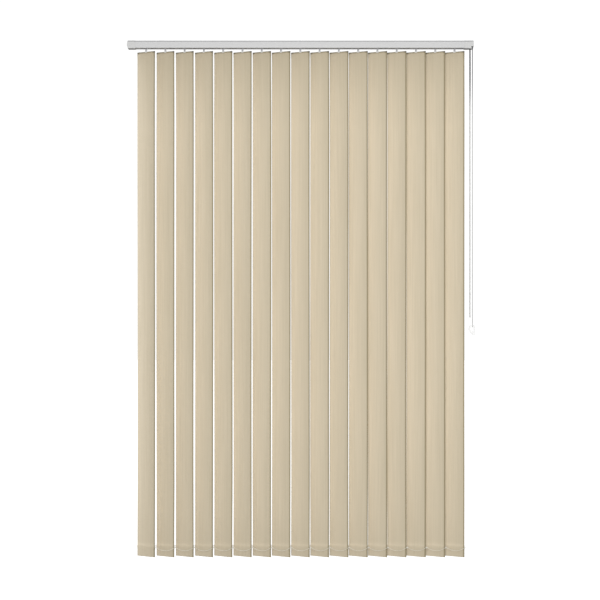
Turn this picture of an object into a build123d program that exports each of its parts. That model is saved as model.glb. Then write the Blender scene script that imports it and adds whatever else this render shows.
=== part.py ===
"""Vertical blind: a headrail with a draw cord and a tilt chain, carriers, and cloth louvres.

Frame: millimetres. X runs along the rail, +Y away from the room towards the window, +Z up.
The origin is the middle of the ceiling plane that the mounting clips are screwed to.
"""

from build123d import *
import math
import os

os.makedirs("parts", exist_ok=True)

# ---------------------------------------------------------------- driving dimensions
# headrail, an extruded channel with a slot below and a clip channel on top
end_margin = 76.0  # from the last stem to the outer face of the end cap
rail_depth = 42.0
rail_height = 30.0
rail_wall = 1.3
rail_shoulder = 3.0
rail_drop = 0.8  # rail's top below the ceiling plane
rail_slot = 13.5
clip_channel_width = 26.0
clip_channel_depth = 3.6
clip_channel_mouth = 20.0
clip_channel_lip = 1.2

# mounting clips
clip_pitch = 560.0
clip_length = 24.0
clip_plate_width = 30.0
clip_screw_radius = 2.25
clip_sink_radius = 4.0
clip_corner = 3.0
clip_wing = 1.3

# end caps
control_cap_length = 38.0
idle_cap_length = 33.0
cap_proud = 0.5
cap_skirt = 1.5
control_cap_crown = 2.0
idle_cap_crown = 4.0
plug_length = 14.0
plug_front_gap = 6.1  # leaves the draw cord's way open along the front wall
plug_back_gap = 1.2  # clears the rail's rounded inner corner
outlet_width = 10.0
outlet_height = 9.0
outlet_depth = 15.0
wheel_side_gap = 1.0
wheel_chain_gap = 0.6
cord_room_end = 2.4  # chamber's walls from the draw cord's centre line
cord_room_side = 2.2
cord_room_back = 2.6
pulley_plug = 10.0  # idle cap's plug beyond the pulley's axle
pulley_axle_gap = 0.8  # from the axle's tip to the rail's front wall
rod_bearing = 8.0
rod_end_gap = 0.5

# louvres
louvre_count = 17
louvre_pitch = 78.0
louvre_width = 89.0
louvre_length = 2042.0
louvre_drop = 12.4  # cloth's top below the rail
louvre_angle = 33.0  # turned from the rail's own plane
cloth_thickness = 0.45
top_pocket = 28.0
bottom_pocket = 50.0
weld_height = 6.0
pocket_round = 1.2
pocket_gap = 0.4  # what a pocket is wider than the plate in it

# hanger in the top pocket
hanger_side = 5.5  # hanger's end inside the cloth's edge
hanger_height = 18.0
hanger_thickness = 1.4
hanger_tab_width = 10.0
hanger_tab_root = 5.0
hanger_eye_top = 3.4  # tab's end above the peg
hanger_hole_radius = 1.5
tab_opening = 4.0
tab_gap = 1.0

# weight in the bottom pocket
weight_side = 2.5  # weight's end inside the cloth's edge
weight_height = 40.0
weight_thickness = 1.6
hook_reach = 5.5  # chain hook's pin beyond the cloth's edge
hook_below_pocket = 10.0
hook_pin_radius = 0.75
hook_gap = 3.0
hook_arm = 1.0

# bottom chain
chain_diameter = 2.0
chain_ring_thickness = 1.15
chain_ring_wall = 0.9
chain_ring_play = 0.45
chain_ring_gap = 0.15  # half the gap between the two rings on one pin
chain_neck = 0.65  # flat neck between an end ring and the chain
chain_neck_half = 0.8
chain_arc_share = 0.45  # of the shorter run, taken by each bend
chain_sag = 12.0

# carriers
carrier_length = 17.0
carrier_front_gap = 8.2  # from the rail's front wall
carrier_back_gap = 6.2
carrier_foot = 2.0  # above the rail's inner ledge
carrier_top = 7.0  # below the ceiling plane
stack_pitch = 21.0
roller_radius = 4.0
roller_width = 3.5
roller_spacing = 9.2
roller_lift = 0.1
axle_radius = 1.2
axle_overhang = 0.6
pinion_radius = 4.0
pinion_height = 7.8
pinion_drop = 1.0  # pinion's middle below the rod's axis
pinion_lift = 0.2
stem_radius = 3.0
stem_root = 1.0  # stem's end inside the pinion
stem_foot_gap = 1.7  # above the cloth
stem_fork_top = 4.4  # fork's root above the peg
peg_radius = 1.0
peg_inset = 0.6
peg_share = 0.58  # peg's place between the rail and the cloth
worm_radius = 4.0
chamber_gap = 0.4
strip_thickness = 0.4
strip_height = 5.0
strip_lane = 1.0
strip_end = 2.0
clamp_half_length = 5.0
clamp_half_height = 2.6
clamp_front = 2.4
window_top = 9.0  # spacer strips' window, below the ceiling plane
window_height = 6.0
window_wall = 0.7

# tilt drive
rod_radius = 2.5
rod_drop = 15.5  # rod's axis below the ceiling plane
tilt_chain_diameter = 4.5
wheel_cover = 1.45  # from the chain round the wheel to the cap's back face
wheel_rim = 1.0
wheel_flange = 1.5
tilt_chain_from_end = 13.0  # chain's centre line from the rail's end
tilt_chain_drop = 1118.8  # lowest point below the ceiling plane

# draw cord
cord_diameter = 2.0
cord_from_end = 5.0
cord_wall_gap = 3.2  # cord's centre line from the rail's front wall
cord_strand_gap = 8.0
pulley_groove_radius = 4.3
pulley_flange_radius = 6.5
pulley_width = 3.8
pulley_groove_width = 2.6
pulley_axle_radius = 1.5
pulley_drop = 9.2
pulley_from_end = 42.0
cord_outlet_bend = 8.0
cord_lead = 26.0  # the lower run leaves the front wall this far before the outlet
cord_lead_bend = 30.0
cord_back_bend = 4.0
cord_weight_top = 1150.0
cord_weight_height = 40.0
cord_weight_width = 24.0
cord_weight_thickness = 8.0
cord_weight_wall = 3.6
cord_weight_bar = 6.0  # height of the top bar that the cord runs under
cord_weight_side = 9.6  # from the cord to the weight's straight side
cord_weight_shoulder = 6.0
cord_weight_toe = 9.0
cord_weight_toe_rise = 2.5
cord_weight_heel_rise = 2.0
cord_weight_flank = 20.0  # the slanted side's upper end, below the top
cord_weight_flank_inset = 1.5
cord_weight_cheek = 8.0
cord_weight_cheek_inset = 0.2
cord_weight_eye_inset = 2.0
cord_weight_eye_low = 30.0
cord_weight_eye_flank = 17.0
waist_width = 4.0

# named clearances
running = 0.06  # round parts that turn in each other
loose = 0.3  # parts that pass each other
snug = 0.05  # parts pressed home, and what a bend leaves of its runs
bite = 0.2  # overlap that joins two shapes into one solid

# ---------------------------------------------------------------- derived places
rail_span = (louvre_count - 1) * louvre_pitch + 2 * end_margin
rail_top = -rail_drop
rail_bottom = rail_top - rail_height
rail_middle = (rail_top + rail_bottom) / 2
control_end = rail_span / 2
idle_end = -rail_span / 2
rail_right = control_end - control_cap_length
rail_left = idle_end + idle_cap_length
rail_length = rail_right - rail_left
inside_half = rail_depth / 2 - rail_wall
ledge = rail_bottom + rail_wall
channel_floor = rail_top - clip_channel_depth - rail_wall
first_louvre = -louvre_pitch * (louvre_count - 1) / 2
louvre_top = rail_bottom - louvre_drop
louvre_bottom = louvre_top - louvre_length
hook_height = louvre_bottom + bottom_pocket - hook_below_pocket
hook_out = louvre_width / 2 + hook_reach
hanger_width = louvre_width - 2 * hanger_side
weight_width = louvre_width - 2 * weight_side
rod_height = -rod_drop
rod_y = pinion_radius + worm_radius + loose
plug_front = inside_half - plug_front_gap
carrier_half = carrier_length / 2
carrier_front = inside_half - carrier_front_gap
carrier_back = inside_half - carrier_back_gap
carrier_bottom = -ledge - carrier_foot
window_front = carrier_front - window_wall
chamber_radius = max(worm_radius, pinion_radius) + chamber_gap
pinion_bottom = rod_height - pinion_height / 2 - pinion_drop
stem_foot = louvre_top + stem_foot_gap
stem_fork = hanger_thickness + 2 * loose
peg_height = rail_bottom - louvre_drop * peg_share
axle_height = ledge + roller_radius + roller_lift
chain_x = control_end - tilt_chain_from_end
cord_x = control_end - cord_from_end
cord_front_y = cord_wall_gap - inside_half
cord_back_y = cord_front_y + cord_strand_gap
wheel_pitch_radius = rail_depth / 2 + cap_proud - wheel_cover - tilt_chain_diameter / 2 - rod_y
wheel_flange_radius = wheel_pitch_radius + wheel_rim
wheel_hub_radius = wheel_pitch_radius - tilt_chain_diameter / 2 - loose
wheel_groove = tilt_chain_diameter + 2 * loose
pulley_x = idle_end + pulley_from_end
pulley_turn = pulley_groove_radius + cord_diameter / 2 + loose
upper_cord = -pulley_drop + pulley_turn
lower_cord = -pulley_drop - pulley_turn
cap_mouth = rail_bottom - cap_skirt + outlet_height


def louvre_plane(x, z=0.0):
    """Plane of a louvre at rest: its X runs to the room-side edge, its Y towards the window."""
    angle = math.radians(louvre_angle)
    return Plane(
        origin=(x, 0, z),
        x_dir=(math.cos(angle), -math.sin(angle), 0),
        z_dir=(0, 0, 1),
    )


def louvre_section_plane(x):
    """Plane across a louvre at rest: its X is the cloth's normal, its Y is up."""
    angle = math.radians(louvre_angle)
    return Plane(
        origin=(x, 0, 0),
        x_dir=(math.sin(angle), math.cos(angle), 0),
        z_dir=(math.cos(angle), -math.sin(angle), 0),
    )


def louvre_face_plane(x):
    """Plane of a louvre's face at rest: its X runs to the room-side edge, its Y is up."""
    angle = math.radians(louvre_angle)
    return Plane(
        origin=(x, 0, 0),
        x_dir=(math.cos(angle), -math.sin(angle), 0),
        z_dir=(-math.sin(angle), -math.cos(angle), 0),
    )


def box(x, y, z, mode=Mode.ADD):
    """A box from three (low, high) pairs, inside the part being built."""
    with Locations((sum(x) / 2, sum(y) / 2, sum(z) / 2)):
        Box(x[1] - x[0], y[1] - y[0], z[1] - z[0], mode=mode)


def tube(route, radii, diameter):
    """A cord's tube: straight runs joined by tangent arcs."""
    with BuildPart() as cord:
        with BuildLine() as path:
            FilletPolyline(*route, radius=radii)
        with BuildSketch(path.line ^ 0):
            Circle(diameter / 2)
        sweep()
    length = sum(edge.length for edge in path.edges())
    area = math.pi * diameter**2 / 4
    share = cord.part.volume / (area * length)
    print("cord length", round(length, 1), "radii", [round(r, 1) for r in radii], "fill", round(share, 4))
    return cord


def group(name, *solids):
    """Several separate solids kept in one node, written to one file."""
    node = Compound(label=name, children=list(solids))
    export_step(node, f"parts/{name}.step")


# ---------------------------------------------------------------- headrail
with BuildPart() as headrail:
    with BuildSketch(Plane.YZ.offset(rail_left)):
        with Locations((0, rail_middle)):
            RectangleRounded(rail_depth, rail_height, rail_shoulder)
            RectangleRounded(
                rail_depth - 2 * rail_wall,
                rail_height - 2 * rail_wall,
                rail_shoulder - rail_wall,
                mode=Mode.SUBTRACT,
            )
        with Locations((0, rail_top)):
            Rectangle(
                clip_channel_width + 2 * rail_wall,
                clip_channel_depth + rail_wall,
                align=(Align.CENTER, Align.MAX),
            )
            Rectangle(
                clip_channel_mouth,
                clip_channel_lip,
                align=(Align.CENTER, Align.MAX),
                mode=Mode.SUBTRACT,
            )
        with Locations((0, rail_top - clip_channel_lip)):
            Rectangle(
                clip_channel_width,
                clip_channel_depth - clip_channel_lip,
                align=(Align.CENTER, Align.MAX),
                mode=Mode.SUBTRACT,
            )
        with Locations((0, rail_bottom)):
            Rectangle(
                rail_slot,
                rail_wall,
                align=(Align.CENTER, Align.MIN),
                mode=Mode.SUBTRACT,
            )
    extrude(amount=rail_length)
headrail.part.label = "headrail"
export_step(headrail.part, "parts/headrail.step")


# ---------------------------------------------------------------- mounting clips
def mounting_clip(x):
    """A clip twisted into the rail's top channel: plate, neck, wings and a countersunk hole."""
    wing_top = rail_top - clip_channel_lip - snug
    with BuildPart() as clip:
        with BuildSketch(Plane.XY.offset(rail_top)):
            with Locations((x, 0)):
                RectangleRounded(clip_length, clip_plate_width, clip_corner)
        extrude(amount=rail_drop)
        box(
            (x - clip_length / 2, x + clip_length / 2),
            (-clip_channel_mouth / 2 + loose, clip_channel_mouth / 2 - loose),
            (wing_top, rail_top),
        )
        box(
            (x - clip_length / 2, x + clip_length / 2),
            (-clip_channel_width / 2 + loose, clip_channel_width / 2 - loose),
            (wing_top - clip_wing, wing_top),
        )
        with Locations(Location((x, 0, wing_top - clip_wing), (180, 0, 0))):
            CounterSinkHole(radius=clip_screw_radius, counter_sink_radius=clip_sink_radius)
    return clip.part


clips = [mounting_clip(x) for x in (-clip_pitch, 0.0, clip_pitch)]
group("mounting_clips", *clips)


# ---------------------------------------------------------------- end caps
def cap_block(inner, outer, crown):
    """A cap's outer block: the rail's outline, a little proud, with a domed outer face."""
    side = math.copysign(1.0, outer - inner)
    shoulder = outer - side * crown
    top = rail_top + cap_proud
    bottom = rail_bottom - cap_skirt
    width = rail_depth + 2 * cap_proud
    with BuildPart() as block:
        with BuildSketch(Plane.YZ.offset(min(inner, outer))):
            with Locations((0, (top + bottom) / 2)):
                RectangleRounded(width, top - bottom, rail_shoulder)
        extrude(amount=abs(outer - inner))
        with BuildSketch(Plane.XZ):
            with BuildLine():
                Polyline((shoulder, top), (inner, top), (inner, bottom), (shoulder, bottom))
                ThreePointArc(
                    (shoulder, bottom),
                    (outer, (top + bottom) / 2),
                    (shoulder, top),
                )
            make_face()
        extrude(amount=width / 2, both=True, mode=Mode.INTERSECT)
    return block.part


with BuildPart() as control_end_cap:
    add(cap_block(rail_right, control_end, control_cap_crown))
    # plug inside the rail, which carries the tilt rod
    box(
        (rail_right - plug_length, rail_right),
        (-plug_front, inside_half - plug_back_gap),
        (ledge + loose, channel_floor - loose),
    )
    # chamber of the chain wheel, open below
    wheel_room = wheel_groove / 2 + wheel_flange + wheel_side_gap
    chain_room = wheel_pitch_radius + tilt_chain_diameter / 2 + wheel_chain_gap
    box(
        (chain_x - wheel_room, chain_x + wheel_room),
        (rod_y - chain_room, rod_y + chain_room),
        (rail_bottom - cap_skirt, rod_height + chain_room),
        mode=Mode.SUBTRACT,
    )
    # chamber of the draw cord, open towards the rail and into the outlet
    box(
        (rail_right, cord_x + cord_room_end),
        (-inside_half, cord_back_y + cord_room_back),
        (lower_cord - cord_room_end, upper_cord + cord_diameter / 2 + loose),
        mode=Mode.SUBTRACT,
    )
    box(
        (cord_x - cord_room_side, cord_x + cord_room_side),
        (-inside_half, cord_back_y + cord_room_back),
        (rail_bottom, lower_cord),
        mode=Mode.SUBTRACT,
    )
    # outlet at the lower outer corner
    box(
        (control_end - outlet_width, control_end),
        (-rail_depth, -rail_depth / 2 + outlet_depth),
        (rail_bottom - cap_skirt, cap_mouth),
        mode=Mode.SUBTRACT,
    )
    # bore of the tilt rod
    with Locations(Location((rail_right, rod_y, rod_height), (0, 90, 0))):
        Cylinder(rod_radius + running, 2 * (chain_x - rail_right), mode=Mode.SUBTRACT)
control_end_cap.part.label = "control_end_cap"
export_step(control_end_cap.part, "parts/control_end_cap.step")

idle_plug_end = pulley_x + pulley_plug
with BuildPart() as idle_end_cap:
    add(cap_block(rail_left, idle_end, idle_cap_crown))
    box(
        (rail_left, idle_plug_end),
        (-plug_front, inside_half - plug_back_gap),
        (ledge + loose, channel_floor - loose),
    )
    # axle of the return pulley
    with Locations(Location((pulley_x, -plug_front, -pulley_drop), (90, 0, 0))):
        Cylinder(
            pulley_axle_radius,
            inside_half - plug_front - pulley_axle_gap,
            align=(Align.CENTER, Align.CENTER, Align.MIN),
        )
    # blind bearing of the tilt rod
    with Locations(Location((idle_plug_end, rod_y, rod_height), (0, -90, 0))):
        Cylinder(
            rod_radius + running,
            rod_bearing,
            align=(Align.CENTER, Align.CENTER, Align.MIN),
            mode=Mode.SUBTRACT,
        )
idle_end_cap.part.label = "idle_end_cap"
export_step(idle_end_cap.part, "parts/idle_end_cap.step")

# ---------------------------------------------------------------- tilt rod and chain wheel
rod_start = idle_plug_end - rod_bearing + rod_end_gap
rod_end = chain_x + wheel_groove / 2 + wheel_flange
with BuildPart() as tilt_rod:
    with BuildSketch(Plane.YZ.offset(rod_start)):
        with Locations((rod_y, rod_height)):
            Circle(rod_radius)
    extrude(amount=rod_end - rod_start)
tilt_rod.part.label = "tilt_rod"
export_step(tilt_rod.part, "parts/tilt_rod.step")

with BuildPart() as chain_wheel:
    with BuildSketch(Plane.YZ.offset(chain_x - wheel_groove / 2)):
        with Locations((rod_y, rod_height)):
            Circle(wheel_hub_radius)
            Circle(rod_radius, mode=Mode.SUBTRACT)
    extrude(amount=wheel_groove)
    for start in (chain_x - wheel_groove / 2 - wheel_flange, chain_x + wheel_groove / 2):
        with BuildSketch(Plane.YZ.offset(start)):
            with Locations((rod_y, rod_height)):
                Circle(wheel_flange_radius)
                Circle(rod_radius, mode=Mode.SUBTRACT)
        extrude(amount=wheel_flange)
chain_wheel.part.label = "chain_wheel"
export_step(chain_wheel.part, "parts/chain_wheel.step")

# ---------------------------------------------------------------- tilt chain
chain_front_y = rod_y - wheel_pitch_radius
chain_back_y = rod_y + wheel_pitch_radius
chain_low = -tilt_chain_drop + tilt_chain_diameter / 2
tilt_loop = tube(
    [
        (chain_x, chain_front_y, rod_height),
        (chain_x, chain_front_y, chain_low),
        (chain_x, chain_back_y, chain_low),
        (chain_x, chain_back_y, rod_height),
    ],
    [wheel_pitch_radius - snug, wheel_pitch_radius - snug],
    tilt_chain_diameter,
)
with BuildPart() as chain_over_wheel:
    with BuildSketch(Plane.XY.offset(rod_height)):
        with Locations((chain_x, chain_front_y)):
            Circle(tilt_chain_diameter / 2)
    revolve(axis=Axis((chain_x, rod_y, rod_height), (1, 0, 0)), revolution_arc=-180)
group("tilt_chain", tilt_loop.part, chain_over_wheel.part)

# ---------------------------------------------------------------- draw cord
strand_turn = cord_strand_gap / 2
cord_low = -cord_weight_top - cord_weight_bar / 2 - strand_turn
draw_loop = tube(
    [
        (cord_x, cord_front_y, cap_mouth),
        (cord_x, cord_front_y, cord_low),
        (cord_x, cord_back_y, cord_low),
        (cord_x, cord_back_y, cap_mouth),
    ],
    [strand_turn - snug, strand_turn - snug],
    cord_diameter,
)
rail_runs = tube(
    [
        (cord_x, cord_front_y, cap_mouth),
        (cord_x, cord_front_y, upper_cord),
        (pulley_x - pulley_turn, cord_front_y, upper_cord),
        (pulley_x - pulley_turn, cord_front_y, lower_cord),
        (cord_x - cord_lead, cord_front_y, lower_cord),
        (cord_x, cord_back_y, lower_cord),
        (cord_x, cord_back_y, cap_mouth),
    ],
    [cord_outlet_bend, pulley_turn - snug, pulley_turn - snug, cord_lead_bend, cord_back_bend],
    cord_diameter,
)
group("draw_cord", draw_loop.part, rail_runs.part)

# ---------------------------------------------------------------- return pulley
with BuildPart() as return_pulley:
    with BuildSketch(Plane.XZ.offset(-cord_front_y - pulley_width / 2)):
        with Locations((pulley_x, -pulley_drop)):
            Circle(pulley_groove_radius)
            Circle(pulley_axle_radius + running, mode=Mode.SUBTRACT)
    extrude(amount=pulley_width)
    pulley_flange = (pulley_width - pulley_groove_width) / 2
    for start in (-pulley_width / 2, pulley_width / 2 - pulley_flange):
        with BuildSketch(Plane.XZ.offset(-cord_front_y + start)):
            with Locations((pulley_x, -pulley_drop)):
                Circle(pulley_flange_radius)
                Circle(pulley_axle_radius + running, mode=Mode.SUBTRACT)
        extrude(amount=pulley_flange)
return_pulley.part.label = "return_pulley"
export_step(return_pulley.part, "parts/return_pulley.step")

# ---------------------------------------------------------------- cord weight
# A hollow ring: the cord's loop passes under its top bar.
weight_middle_y = (cord_front_y + cord_back_y) / 2
weight_right = cord_x + cord_weight_side
weight_left = weight_right - cord_weight_width
weight_top = -cord_weight_top
weight_low = weight_top - cord_weight_height
shoulder = (weight_left + cord_weight_shoulder, weight_top)
heel = (weight_right, weight_low + cord_weight_heel_rise)
toe = (weight_right - cord_weight_toe, weight_low + cord_weight_toe_rise)
flank = (weight_left + cord_weight_flank_inset, weight_top - cord_weight_flank)
eye_left = weight_left + cord_weight_wall + cord_weight_eye_inset
with BuildPart() as cord_weight:
    with BuildSketch(Plane.XZ.offset(-weight_middle_y)) as outline:
        with BuildLine():
            Polyline(shoulder, (weight_right, weight_top), heel)
            ThreePointArc(heel, (weight_right - cord_weight_toe / 2, weight_low), toe)
            Line(toe, flank)
            ThreePointArc(
                flank,
                (weight_left + cord_weight_cheek_inset, weight_top - cord_weight_cheek),
                shoulder,
            )
        make_face()
        with BuildLine():
            Polyline(
                (eye_left, weight_top - cord_weight_bar),
                (weight_right - cord_weight_wall, weight_top - cord_weight_bar),
                (weight_right - cord_weight_wall, weight_top - cord_weight_eye_low),
                (eye_left - bite, weight_top - cord_weight_eye_flank),
                close=True,
            )
        make_face(mode=Mode.SUBTRACT)
    extrude(amount=cord_weight_thickness / 2, both=True)
    # waist of the top bar, round where the cord passes under it
    bar_radius = strand_turn - cord_diameter / 2 - loose
    box(
        (cord_x - waist_width / 2, cord_x + waist_width / 2),
        (weight_middle_y - cord_weight_thickness, weight_middle_y + cord_weight_thickness),
        (weight_top - cord_weight_bar, weight_top),
        mode=Mode.SUBTRACT,
    )
    waist = Location((cord_x, weight_middle_y, weight_top - cord_weight_bar / 2), (0, 90, 0))
    with Locations(waist):
        Cylinder(bar_radius, waist_width + 2 * bite)
cord_weight.part.label = "cord_weight"
export_step(cord_weight.part, "parts/cord_weight.step")


# ---------------------------------------------------------------- carriers
def roller(x, y):
    """A roller on its stub axle, running on the rail's inner ledge."""
    with BuildPart() as wheel:
        with BuildSketch(Plane.XZ.offset(-y)):
            with Locations((x, axle_height)):
                Circle(roller_radius)
                Circle(axle_radius + running, mode=Mode.SUBTRACT)
        extrude(amount=roller_width / 2, both=True)
    return wheel.part


def carrier(number):
    """A carrier: housing, rollers, worm, and the spacer strip to its neighbour."""
    x = first_louvre + (number - 1) * louvre_pitch
    ends = (x - carrier_half, x + carrier_half)
    lanes = int(louvre_pitch // stack_pitch) + 1
    window_back = -window_front + lanes * strip_lane
    with BuildPart() as housing:
        box(ends, (-carrier_front, carrier_back), (-carrier_bottom, -carrier_top))
        with Locations(Location((x, 0, axle_height), (90, 0, 0))):
            with Locations((-roller_spacing / 2, 0), (roller_spacing / 2, 0)):
                Cylinder(axle_radius, 2 * (carrier_back + roller_width))
        box(
            ends,
            (-2 * carrier_back, -carrier_front - roller_width - axle_overhang),
            (-carrier_bottom - axle_radius, -carrier_top),
            mode=Mode.SUBTRACT,
        )
        # chamber of the worm, right through
        with Locations(Location((x, rod_y, rod_height), (0, 90, 0))):
            Cylinder(chamber_radius, carrier_length, mode=Mode.SUBTRACT)
        # chamber of the pinion, and the stem's bore below it
        with Locations((x, 0, pinion_bottom)):
            Cylinder(
                chamber_radius,
                carrier_bottom,
                align=(Align.CENTER, Align.CENTER, Align.MIN),
                mode=Mode.SUBTRACT,
            )
            Cylinder(stem_radius + running, 3 * carrier_bottom, mode=Mode.SUBTRACT)
        # window that the spacer strips pass through
        box(
            ends,
            (-window_front, window_back),
            (-window_top - window_height, -window_top),
            mode=Mode.SUBTRACT,
        )
        if number == 1:
            box(
                (x - clamp_half_length, x + clamp_half_length),
                (cord_front_y - clamp_front, -carrier_front),
                (lower_cord - clamp_half_height, lower_cord + clamp_half_height),
            )
            with Locations(Location((x, cord_front_y, lower_cord), (0, 90, 0))):
                Cylinder(cord_diameter / 2 + loose, carrier_length, mode=Mode.SUBTRACT)
    with BuildPart() as worm:
        with BuildSketch(Plane.YZ.offset(x)):
            with Locations((rod_y, rod_height)):
                Circle(worm_radius)
                Circle(rod_radius + running, mode=Mode.SUBTRACT)
        extrude(amount=carrier_half - loose, both=True)
    front = -carrier_front - roller_width / 2 - loose
    back = carrier_back + roller_width / 2 + loose
    solids = [housing.part, worm.part]
    for side in (-1, 1):
        for y in (front, back):
            solids.append(roller(x + side * roller_spacing / 2, y))
    if number > 1:
        lane = -window_front + strip_lane * (number % lanes + 0.5)
        across = (lane - strip_thickness / 2, lane + strip_thickness / 2)
        strip_top = -window_top - (window_height - strip_height) / 2
        with BuildPart() as strip:
            box((x - louvre_pitch, x - strip_end), across, (strip_top - strip_height, strip_top))
            box((x - carrier_half, x - strip_end), across, (strip_top, -window_top))
        solids.append(strip.part)
    group(f"carrier_{number:02d}", *solids)


for number in range(1, louvre_count + 1):
    carrier(number)


# ---------------------------------------------------------------- louvres
def louvre(number):
    """A louvre: folded cloth, hanger, hook stem and bottom weight with its chain hooks."""
    x = first_louvre + (number - 1) * louvre_pitch
    top_gap = hanger_thickness + pocket_gap
    bottom_gap = weight_thickness + pocket_gap
    with BuildPart() as cloth:
        with BuildSketch(louvre_section_plane(x)):
            for top, height, gap in (
                (louvre_top, top_pocket, top_gap),
                (louvre_bottom + bottom_pocket, bottom_pocket, bottom_gap),
            ):
                with Locations((0, top - height / 2)):
                    RectangleRounded(gap + 2 * cloth_thickness, height, pocket_round)
            low = louvre_bottom + bottom_pocket - weld_height
            high = louvre_top - top_pocket + weld_height
            with Locations((0, (low + high) / 2)):
                Rectangle(cloth_thickness, high - low)
            with Locations((0, louvre_top - cloth_thickness)):
                Rectangle(
                    top_gap,
                    top_pocket - 2 * cloth_thickness - weld_height,
                    align=(Align.CENTER, Align.MAX),
                    mode=Mode.SUBTRACT,
                )
            with Locations((0, louvre_bottom + cloth_thickness)):
                Rectangle(
                    bottom_gap,
                    bottom_pocket - 2 * cloth_thickness - weld_height,
                    align=(Align.CENTER, Align.MIN),
                    mode=Mode.SUBTRACT,
                )
        extrude(amount=louvre_width / 2, both=True)
        # opening in the top fold for the hanger's tab
        with BuildSketch(louvre_plane(x, louvre_top - tab_opening)):
            Rectangle(hanger_tab_width + 2 * tab_gap, top_gap + 2 * cloth_thickness + tab_gap)
        extrude(amount=2 * tab_opening, mode=Mode.SUBTRACT)
    with BuildPart() as hanger:
        plate_top = louvre_top - cloth_thickness - loose
        with BuildSketch(louvre_section_plane(x)):
            with Locations((0, plate_top - hanger_height / 2)):
                Rectangle(hanger_thickness, hanger_height)
        extrude(amount=hanger_width / 2, both=True)
        with BuildSketch(louvre_section_plane(x)):
            with Locations((0, plate_top - hanger_tab_root)):
                Rectangle(
                    hanger_thickness,
                    peg_height + hanger_eye_top - plate_top + hanger_tab_root,
                    align=(Align.CENTER, Align.MIN),
                )
        extrude(amount=hanger_tab_width / 2, both=True)
        with BuildSketch(louvre_face_plane(x)):
            with Locations((0, peg_height - loose)):
                Circle(hanger_hole_radius)
        extrude(amount=hanger_thickness, both=True, mode=Mode.SUBTRACT)
    with BuildPart() as stem:
        with BuildSketch(louvre_plane(x, stem_foot)):
            Circle(stem_radius)
        extrude(amount=pinion_bottom + stem_root - stem_foot)
        with BuildSketch(louvre_plane(x, pinion_bottom + pinion_lift)):
            Circle(pinion_radius)
        extrude(amount=pinion_height)
        with BuildSketch(louvre_plane(x, stem_foot)):
            Rectangle(4 * stem_radius, stem_fork)
        extrude(amount=peg_height + stem_fork_top - stem_foot, mode=Mode.SUBTRACT)
        with BuildSketch(louvre_face_plane(x)):
            with Locations((0, peg_height)):
                Circle(peg_radius)
        extrude(amount=stem_radius - peg_inset, both=True)
    with BuildPart() as weight:
        foot = louvre_bottom + cloth_thickness + loose
        with BuildSketch(louvre_section_plane(x)):
            with Locations((0, foot)):
                Rectangle(weight_thickness, weight_height, align=(Align.CENTER, Align.MIN))
        extrude(amount=weight_width / 2, both=True)
        for z in (hook_height - hook_gap / 2 - hook_arm, hook_height + hook_gap / 2):
            with BuildSketch(louvre_plane(x, z)):
                SlotCenterToCenter(2 * hook_out, weight_thickness)
            extrude(amount=hook_arm)
        with BuildSketch(louvre_plane(x, hook_height - hook_gap / 2)):
            with Locations((-hook_out, 0), (hook_out, 0)):
                Circle(hook_pin_radius)
        extrude(amount=hook_gap)
    group(f"louvre_{number:02d}", cloth.part, hanger.part, stem.part, weight.part)


for number in range(1, louvre_count + 1):
    louvre(number)


# ---------------------------------------------------------------- bottom chain
def bottom_chain(number):
    """The chain from one louvre's room-side hook to the next: two end rings and a sagging run."""
    angle = math.radians(louvre_angle)
    x = first_louvre + (number - 1) * louvre_pitch + hook_out * math.cos(angle)
    y = -hook_out * math.sin(angle)
    ring_inner = hook_pin_radius + chain_ring_play
    ring_outer = ring_inner + chain_ring_wall
    upper = hook_height + chain_ring_thickness / 2 + chain_ring_gap
    lower = hook_height - chain_ring_thickness / 2 - chain_ring_gap
    start = ring_outer + chain_neck
    route = [
        (x + start, y, lower),
        (x + louvre_pitch / 4, y, lower - chain_sag),
        (x + louvre_pitch * 3 / 4, y, lower - chain_sag),
        (x + louvre_pitch - start, y, upper),
    ]
    radii = []
    for before, point, after in zip(route, route[1:], route[2:]):
        arrive = Vector(point) - Vector(before)
        leave = Vector(after) - Vector(point)
        half_turn = math.radians(arrive.get_angle(leave)) / 2
        shorter = min(arrive.length, leave.length)
        radii.append(chain_arc_share * shorter / math.tan(half_turn))
    run = tube(route, radii, chain_diameter)
    with BuildPart() as chain:
        add(run.part)
        for ring_x, height, way in ((x, lower, 1), (x + louvre_pitch, upper, -1)):
            half_ring = chain_ring_thickness / 2
            neck = sorted((ring_x + way * (ring_outer - bite), ring_x + way * (start + 2 * bite)))
            box(
                tuple(neck),
                (y - chain_neck_half, y + chain_neck_half),
                (height - half_ring, height + half_ring),
            )
            with BuildSketch(Plane.XY.offset(height - half_ring)):
                with Locations((ring_x, y)):
                    Circle(ring_outer)
            extrude(amount=chain_ring_thickness)
            with BuildSketch(Plane.XY.offset(height - 2 * chain_ring_thickness)):
                with Locations((ring_x, y)):
                    Circle(ring_inner)
            extrude(amount=4 * chain_ring_thickness, mode=Mode.SUBTRACT)
    chain.part.label = f"bottom_chain_{number:02d}"
    export_step(chain.part, f"parts/bottom_chain_{number:02d}.step")


for number in range(1, louvre_count):
    bottom_chain(number)
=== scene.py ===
"""Looks of a vertical blind: headrail, chains and cord, and seventeen cloth louvres.

Metres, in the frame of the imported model: X along the headrail, +Y towards the window, +Z up.
"""

import math

import bpy
from mathutils import Matrix, Vector


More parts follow.
